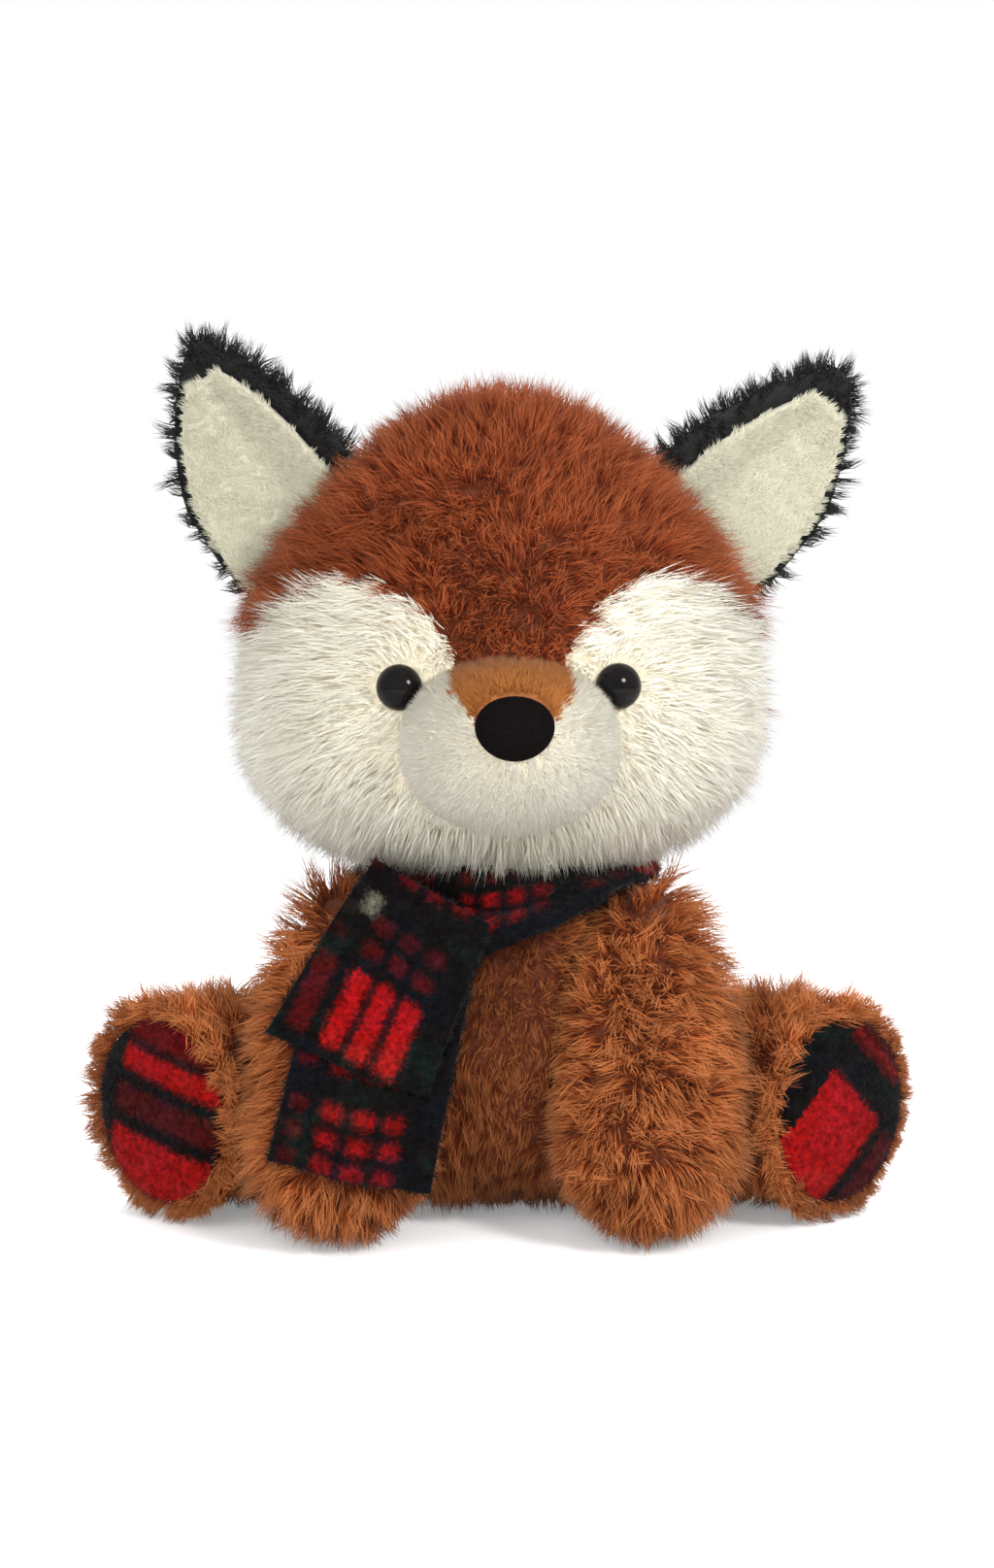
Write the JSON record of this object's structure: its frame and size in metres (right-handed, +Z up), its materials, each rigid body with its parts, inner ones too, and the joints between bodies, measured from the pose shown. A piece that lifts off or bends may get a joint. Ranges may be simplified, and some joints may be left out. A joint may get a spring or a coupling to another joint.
{
  "type": "plush fox",
  "caption": "Seated plush fox with a rust coat, white cheeks, black-backed ears, tartan scarf and foot pads; sewn limbs flex.",
  "frame": {"origin": "the point on the floor under the middle of the neck", "axes": "+Z up, -Y the way the fox faces, +X its own left"},
  "size_m": [0.2218, 0.2222, 0.2377],
  "materials": {
    "rust_plush": "long pile",
    "white_plush": "long pile",
    "white_short_plush": "short pile",
    "tan_short_plush": "short pile",
    "black_plush": "long pile",
    "cream_plush": "short pile",
    "tartan_fleece": "brushed fleece",
    "black_flock": "flocked",
    "eye_plastic": "gloss",
    "washer_plastic": "matte",
    "fibre_fill": "loose fibre",
    "pellet_bag": "woven"
  },
  "bodies": {
    "torso": {"body_cover": "rust_plush", "body_stuffing": "fibre_fill", "pellet_pouch": "pellet_bag", "scarf_collar": "tartan_fleece"},
    "head": {"head_crown": "rust_plush", "head_cheek_left": "white_plush", "head_cheek_right": "white_plush", "muzzle": "white_short_plush", "muzzle_bridge": "tan_short_plush", "nose": "black_flock", "nose_washer": "washer_plastic", "eye_left": "eye_plastic", "eye_right": "eye_plastic", "eye_washer_left": "washer_plastic", "eye_washer_right": "washer_plastic", "head_stuffing": "fibre_fill"},
    "ear_left": {"ear_left_back": "black_plush", "ear_left_lining": "cream_plush"},
    "ear_right": {"ear_right_back": "black_plush", "ear_right_lining": "cream_plush"},
    "scarf_ends": {"scarf_end_over": "tartan_fleece", "scarf_end_under": "tartan_fleece"},
    "arm_left": {"arm_left_cover": "rust_plush", "arm_left_stuffing": "fibre_fill"},
    "arm_right": {"arm_right_cover": "rust_plush", "arm_right_stuffing": "fibre_fill"},
    "leg_left": {"leg_left_cover": "rust_plush", "leg_left_sole": "tartan_fleece", "leg_left_stuffing": "fibre_fill"},
    "leg_right": {"leg_right_cover": "rust_plush", "leg_right_sole": "tartan_fleece", "leg_right_stuffing": "fibre_fill"},
    "tail": {"tail_cover": "rust_plush", "tail_tip": "white_plush", "tail_stuffing": "fibre_fill"}
  },
  "joints": [
    {"name": "neck_turn", "type": "hinge", "parent": "torso", "child": "head", "pos_m": [0, -0.002, 0.114], "axis": [0, 0, 1], "range_deg": [-15, 15], "stiffness_Nm_per_rad": 0.06},
    {"name": "ear_left_flex", "type": "hinge", "parent": "head", "child": "ear_left", "pos_m": [0.05045, 0.00421, 0.18261], "axis": [0.6939, 0.2384, -0.6795], "range_deg": [-10, 10], "stiffness_Nm_per_rad": 0.08},
    {"name": "ear_right_flex", "type": "hinge", "parent": "head", "child": "ear_right", "pos_m": [-0.05079, -0.00021, 0.18261], "axis": [0.8467, -0.1711, 0.5038], "range_deg": [-10, 10], "stiffness_Nm_per_rad": 0.08},
    {"name": "shoulder_left", "type": "hinge", "parent": "torso", "child": "arm_left", "pos_m": [0.0375, -0.014, 0.078], "axis": [-1, 0, 0], "range_deg": [0, 45], "stiffness_Nm_per_rad": 0.05},
    {"name": "shoulder_right", "type": "hinge", "parent": "torso", "child": "arm_right", "pos_m": [-0.041, -0.014, 0.078], "axis": [-1, 0, 0], "range_deg": [0, 20], "stiffness_Nm_per_rad": 0.05},
    {"name": "scarf_lift", "type": "hinge", "parent": "torso", "child": "scarf_ends", "pos_m": [-0.0205, -0.038, 0.096], "axis": [-1, 0, 0], "range_deg": [0, 23]},
    {"name": "hip_left", "type": "hinge", "parent": "torso", "child": "leg_left", "pos_m": [0.05322, 0.02479, 0.031], "axis": [-0.766, -0.6428, 0], "range_deg": [0, 15], "stiffness_Nm_per_rad": 0.1},
    {"name": "hip_right", "type": "hinge", "parent": "torso", "child": "leg_right", "pos_m": [-0.05322, 0.02479, 0.031], "axis": [-0.766, 0.6428, 0], "range_deg": [0, 15], "stiffness_Nm_per_rad": 0.1},
    {"name": "tail_swing", "type": "hinge", "parent": "torso", "child": "tail", "pos_m": [0, 0.038, 0.0215], "axis": [0, 0, 1], "range_deg": [-15, 15], "stiffness_Nm_per_rad": 0.04}
  ],
  "couplings": [
    {"joint": "scarf_lift", "follows": "shoulder_right", "ratio": 1.15}
  ]
}
